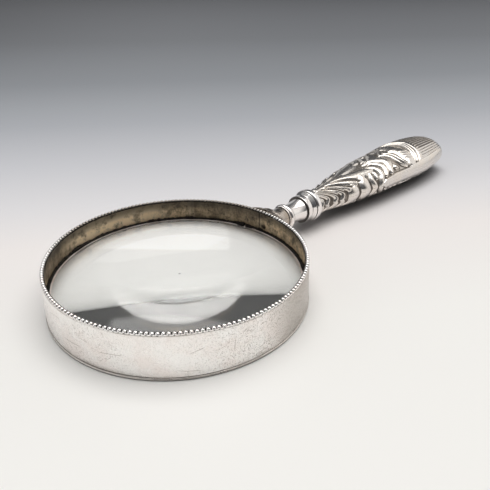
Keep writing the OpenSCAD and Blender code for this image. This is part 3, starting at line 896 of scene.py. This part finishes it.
def arc_table():
    """A function that gives the distance over the handle's surface from its top ridge, in millimetres."""
    table_a = np.linspace(0, 100, 101)
    table_u = np.linspace(0, 1, 160)
    tw, th = half_size(table_u, 1)[:, None], half_size(table_u, 2)[:, None]
    ta = np.radians(table_a + 90)[None, :]
    step = np.hypot(tw * np.sin(ta), th * np.cos(ta)) * math.radians(1.0)
    arcs = np.cumsum(step, 1) - step

    def arc_of(x, angle):
        ui = np.clip((x - SHELL_X) / SHELL_LEN, 0, 1) * (len(table_u) - 1)
        away = np.asarray(angle, float) - 90
        ai = np.clip(np.abs(away), 0, 99.999)
        i, j = np.clip(ui.astype(int), 0, len(table_u) - 2), ai.astype(int)
        fi, fj = ui - i, ai - j
        d = ((1 - fi) * (1 - fj) * arcs[i, j] + fi * (1 - fj) * arcs[i + 1, j]
             + (1 - fi) * fj * arcs[i, j + 1] + fi * fj * arcs[i + 1, j + 1])
        return np.where(away < 0, -d, d)

    return arc_of


def build_handle_half(name, lower, material):
    """One stamped half: a thin shell with its relief outside; "grime" is 1 in the deepest hollows and also
    holds painted shade over the top of the flutes.
    """
    along, across, inner, wall = 430, 300, 18, 1.55
    t = 1 - np.linspace(0, 1, along)
    u = 1 - (0.985 * t + 0.015 * t ** 3)
    uu, aa = np.meshgrid(u, np.linspace(0, 180, across), indexing="ij")
    w, h = half_size(uu, 1), half_size(uu, 2)

    x = SHELL_X + uu * SHELL_LEN
    mirrored = 90 + np.abs(aa - 90)
    relief = soften(carve(x, mirrored, arc_table()), 2)
    hollow = np.clip((soften(relief, 40) - relief) * 3.0 + (0.42 - relief) * 1.4, 0, 1)
    # Over the top of the flutes hollow is at least 0.30 even on the crests: painted shade there, with patina
    # deeper in the reed grooves.
    flute_patina_and_shade = np.clip((x - 157.5) / 2.5, 0, 1) * np.clip((132 - mirrored) / 14, 0, 1)
    hollow = np.maximum(hollow, flute_patina_and_shade * np.clip((FLUTE_TOP - relief) / 0.30, 0.30, 1))
    drop = RELIEF * (1 - relief)
    angle = np.radians(aa if not lower else 360 - aa)
    outer = about_axis(x, w - drop, h - drop, angle)

    ub, ab = np.meshgrid(u, np.linspace(180, 0, inner), indexing="ij")
    wi, hi = np.maximum(half_size(ub, 1) - wall, 1.0), np.maximum(half_size(ub, 2) - wall, 0.8)
    ab = np.radians(ab if not lower else 360 - ab)
    inside = about_axis(SHELL_X + np.minimum(ub, 0.985) * SHELL_LEN, wi, hi, ab)

    points = np.concatenate([outer, inside], 1)
    cols = across + inner
    faces = grid_faces(along, cols, False, True, flip=lower)
    front = list(range(cols))
    end = [(along - 1) * cols + i for i in range(across)]
    faces.append(front if lower else front[::-1])
    faces.append(end[::-1] if lower else end)
    obj = make_object(name, points, faces, "handle", [material])
    set_attribute(obj, "grime", np.concatenate([hollow, np.ones((along, inner))], 1))
    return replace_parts(obj, "handle_shell_lower" if lower else "handle_shell_upper")


# ---- everything together

# Dirt in the grooves between the turned rings: place along the axis and half width, in millimetres.
GROOVES = (
    (COLLAR_LOW[0], 0.24), (COLLAR_HIGH[0] + 0.05, 0.22), (FRONT_LOW[0] - 0.1, 0.24),
    (FRONT_HIGH[0] + 0.4, 0.42), (REAR_LOW[0] - 0.05, 0.32), (REAR_HIGH[0], 0.32))
OLD_DIRT = rgb(0.035, 0.03, 0.025)

polished = polished_material("polished_silver", rgb(0.90, 0.88, 0.86), SILVER_WARM,
                             low=0.12, high=0.22, dirt=OLD_DIRT, depth=0.9, lines=GROOVES)
tarnished = polished_material("tarnished_silver", rgb(0.56, 0.51, 0.46), rgb(0.40, 0.34, 0.28),
                              low=0.16, high=0.30, dirt=OLD_DIRT, depth=0.9, lines=GROOVES)
chased = polished_material("chased_silver", rgb(0.80, 0.76, 0.715), rgb(0.84, 0.775, 0.70),
                           low=0.17, high=0.28, dirt=rgb(0.065, 0.048, 0.034), depth=0.84)
steel = turned_metal_material("screw_steel", rgb(0.50, 0.49, 0.47), rgb(0.22, 0.19, 0.16))
bush_brass = turned_metal_material("bush_brass", rgb(0.62, 0.46, 0.20), rgb(0.30, 0.20, 0.09))
seat = dark_ring_material("seat_dark", scale=300.0, lift=9.0)

build_band(band_material())
build_foot(foot_material())
build_beads(bead_material())
build_lens(glass_material(), ground_material())
build_keeper(dark_ring_material("keeper_black", scale=420.0, lift=0.5))
build_front_ring(polished)
build_stud(steel)
build_handle_half("chased_shell_upper", False, chased)
build_handle_half("chased_shell_lower", True, chased)

CAD_FINISH = {
    "lens_seat_ring": seat, "saddle_plate": tarnished, "socket_boss": tarnished,
    "socket_collar": polished, "neck_ferrule": polished, "rear_ring": polished,
    "threaded_bush": bush_brass, "tang": steel, "pitch_filling": pitch_material(),
}
for node, material in CAD_FINISH.items():
    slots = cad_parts[node].data.materials
    for i in range(len(slots)):
        slots[i] = material
    if not len(slots):
        slots.append(material)


# ---- camera, light and table

VIEW_TURN = math.radians(-37.9)
CAMERA_PLACE = (0.0, -0.1528, 0.1010)
CAMERA_TILT, CAMERA_HEADING = math.radians(61.36), math.radians(-46.483)


def stage_place(x, y, z):
    """A place given as right, away and up in the stage's own directions, turned into the object's frame."""
    c, s = math.cos(VIEW_TURN), math.sin(VIEW_TURN)
    return (x * c - y * s, x * s + y * c, z)


def stage_directions(n, x, y):
    """The stage's right and away from the object's X and Y, as nodes."""
    c, s = math.cos(VIEW_TURN), math.sin(VIEW_TURN)
    return n.plus(n.times(x, c), n.times(y, s)), n.plus(n.times(x, -s), n.times(y, c))


def build_camera():
    """A camera at the photograph's viewing angle."""
    data = bpy.data.cameras.new("camera")
    data.sensor_width = 36.0
    data.lens = 37.47
    data.clip_start = 0.005
    data.clip_end = 20.0
    camera = bpy.data.objects.new("camera", data)
    camera.location = stage_place(*CAMERA_PLACE)
    camera.rotation_euler = (CAMERA_TILT, 0.0, CAMERA_HEADING)
    bpy.context.scene.collection.objects.link(camera)
    bpy.context.scene.camera = camera


def colour_ramp(n, factor, stops):
    """A colour ramp through stops, each a position and a colour, lowest first."""
    node = n.add("ShaderNodeValToRGB", Fac=factor)
    elements = node.color_ramp.elements
    for element, (position, colour) in ((elements[0], stops[0]), (elements[1], stops[-1])):
        element.position = position
        element.color = colour
    for position, colour in stops[1:-1]:
        elements.new(position).color = colour
    return node.outputs[0]


# Painted shade: the table's tone falls away with distance behind SHADE_START, standing in for light that
# falls off: metres, then linear red, green and blue.
SHADE_START = -0.1528
SHADE = (
    (0.00, 0.88, 0.875, 0.85), (0.13, 0.86, 0.85, 0.825), (0.19, 0.82, 0.785, 0.77),
    (0.231, 0.71, 0.70, 0.715), (0.29, 0.565, 0.57, 0.60), (0.38, 0.392, 0.406, 0.437),
    (0.534, 0.250, 0.264, 0.285), (0.855, 0.164, 0.172, 0.186), (1.94, 0.090, 0.094, 0.103),
    (4.0, 0.055, 0.056, 0.062))
SHADE_POWER = 0.4    # spreads the near distances over more of the ramp


def table_material():
    """Pale sheet with painted shade by distance and at the far left, a soft painted shadow near the handle
    and a painted glow for the light the lens gathers.
    """
    n = Surface("table_paper")
    x, y, _ = n.xyz(n.place())
    right, away = stage_directions(n, x, y)
    metres = n.minus(away, SHADE_START)
    longest = SHADE[-1][0]
    along = n.math("POWER", n.larger(n.times(metres, 1 / longest), 0.0), SHADE_POWER)
    # painted shade by distance, from SHADE
    shaded_paper = colour_ramp(n, along, [((row[0] / longest) ** SHADE_POWER, rgb(*row[1:])) for row in SHADE])

    from_middle = n.math("SQRT", n.plus(n.times(x, x), n.times(y, y)))
    # Painted shadow: an ambient occlusion node darkens the table near the handle; near_rim switches it off
    # round the rim.
    painted_contact_shadow = n.add("ShaderNodeAmbientOcclusion", samples=8, Distance=0.011).outputs["AO"]
    near_rim = n.ramp(from_middle, 60.0 * MM, 72.0 * MM, 1.0, 0.0)
    painted_contact_shadow = n.larger(n.ramp(painted_contact_shadow, 0.30, 0.80, 0.30, 1.0), near_rim)
    # Painted shade: the far left of the table is darker.
    left = n.ramp(n.math("DIVIDE", right, n.larger(metres, 0.05)), -0.52, 0.05, 1.0, 0.0)
    left = n.times(left, n.ramp(metres, 0.25, 1.2, 0.0, 0.36))
    shade = n.times(painted_contact_shadow, n.minus(1.0, left))
    # Painted light: the table glows under the lens, though it is no lamp.
    painted_lens_glow = n.times(n.ramp(from_middle, 36.0 * MM, 43.0 * MM, 1.0, 0.0), 0.37)
    return n.finish(Base_Color=n.mix(shade, rgb(0.0, 0.0, 0.0), shaded_paper), Roughness=0.7, Specular_IOR_Level=0.2,
                    Emission_Color=rgb(1.0, 1.0, 0.99), Emission_Strength=painted_lens_glow)


def build_table():
    """A wide pale sheet whose far side falls away into shade."""
    side, far = 8.0, 16.0
    corners = [stage_place(x, y, 0.0) for x, y in ((-side, -side), (side, -side), (side, far), (-side, far))]
    mesh = bpy.data.meshes.new("table")
    mesh.from_pydata(corners, [], [(0, 1, 2, 3)])
    mesh.materials.append(table_material())
    table = bpy.data.objects.new("table", mesh)
    bpy.context.scene.collection.objects.link(table)


def walls(n, right, away, z):
    """The room's light by direction: dim, with a bright wall at the right and another at the left."""
    lit = n.times(n.ramp(n.minus(right, n.times(away, 0.90)), -0.05, 0.10),
                  n.ramp(n.plus(away, n.times(right, 0.35)), -0.25, 0.15))
    lit = n.times(lit, n.ramp(z, 0.58, 0.78, 1.0, 0.0))
    dim = colour_ramp(n, z, [(0.0, rgb(0.05, 0.052, 0.057)), (0.50, rgb(0.11, 0.113, 0.12)),
                             (0.85, rgb(0.36, 0.36, 0.36))])
    bright = colour_ramp(n, z, [(0.0, rgb(0.74, 0.72, 0.70)), (0.25, rgb(0.92, 0.90, 0.88))])
    colour = n.mix(lit, dim, bright)
    left = n.times(n.ramp(right, -0.70, -0.35, 1.0, 0.0), n.ramp(away, 0.35, 0.70, 1.0, 0.0))
    left = n.times(left, n.ramp(z, 0.55, 0.80, 1.0, 0.0))
    return n.mix(left, colour, rgb(0.80, 0.80, 0.81))


def box_behind(n, right, away, z):
    """1 inside a round-topped box of light that stands behind the object."""
    middle, half_width = math.radians(-4.6), math.radians(15.5)
    foot, height = math.radians(6.0), math.radians(20.0)
    across = n.times(n.minus(n.math("ARCTAN2", right, away), middle), 1 / half_width)
    rise = n.times(n.minus(n.math("ARCSINE", z), foot), 1 / height)
    spread = n.plus(n.math("POWER", n.unsigned(across), 4.0), n.times(rise, rise))
    return n.ramp(spread, 0.94, 1.06, 1.0, 0.0)


def box_overhead(n, right, away, z):
    """1 inside a box of light overhead, a little askew and off to the right. Sizes are at 1 m up."""
    middle_right, middle_away, askew = 0.24, 0.14, 0.30
    up = n.larger(z, 0.01)
    u = n.minus(n.math("DIVIDE", right, up), middle_right)
    v = n.minus(n.math("DIVIDE", away, up), middle_away)
    v = n.unsigned(n.plus(v, n.times(u, askew)))
    return n.times(n.ramp(n.unsigned(u), 0.60, 0.66, 1.0, 0.0), n.ramp(v, 0.44, 0.52, 1.0, 0.0))


def build_studio():
    """Soft surroundings, all in the world's shader: walls, a box of light behind and a large one overhead."""
    world = bpy.data.worlds.new("studio")
    world.use_nodes = True
    n = Nodes(world.node_tree)
    x, y, z = n.xyz(n.add("ShaderNodeTexCoord").outputs["Generated"])
    right, away = stage_directions(n, x, y)
    colour = walls(n, right, away, z)
    colour = n.mix(box_behind(n, right, away, z), colour, rgb(0.50, 0.50, 0.50))
    colour = n.mix(box_overhead(n, right, away, z), colour, rgb(2.95, 2.92, 2.87))
    n.feed(world.node_tree.nodes["Background"].inputs["Color"], colour)
    bpy.context.scene.world = world


build_camera()
build_table()
build_studio()
bpy.context.scene.view_settings.view_transform = "Standard"
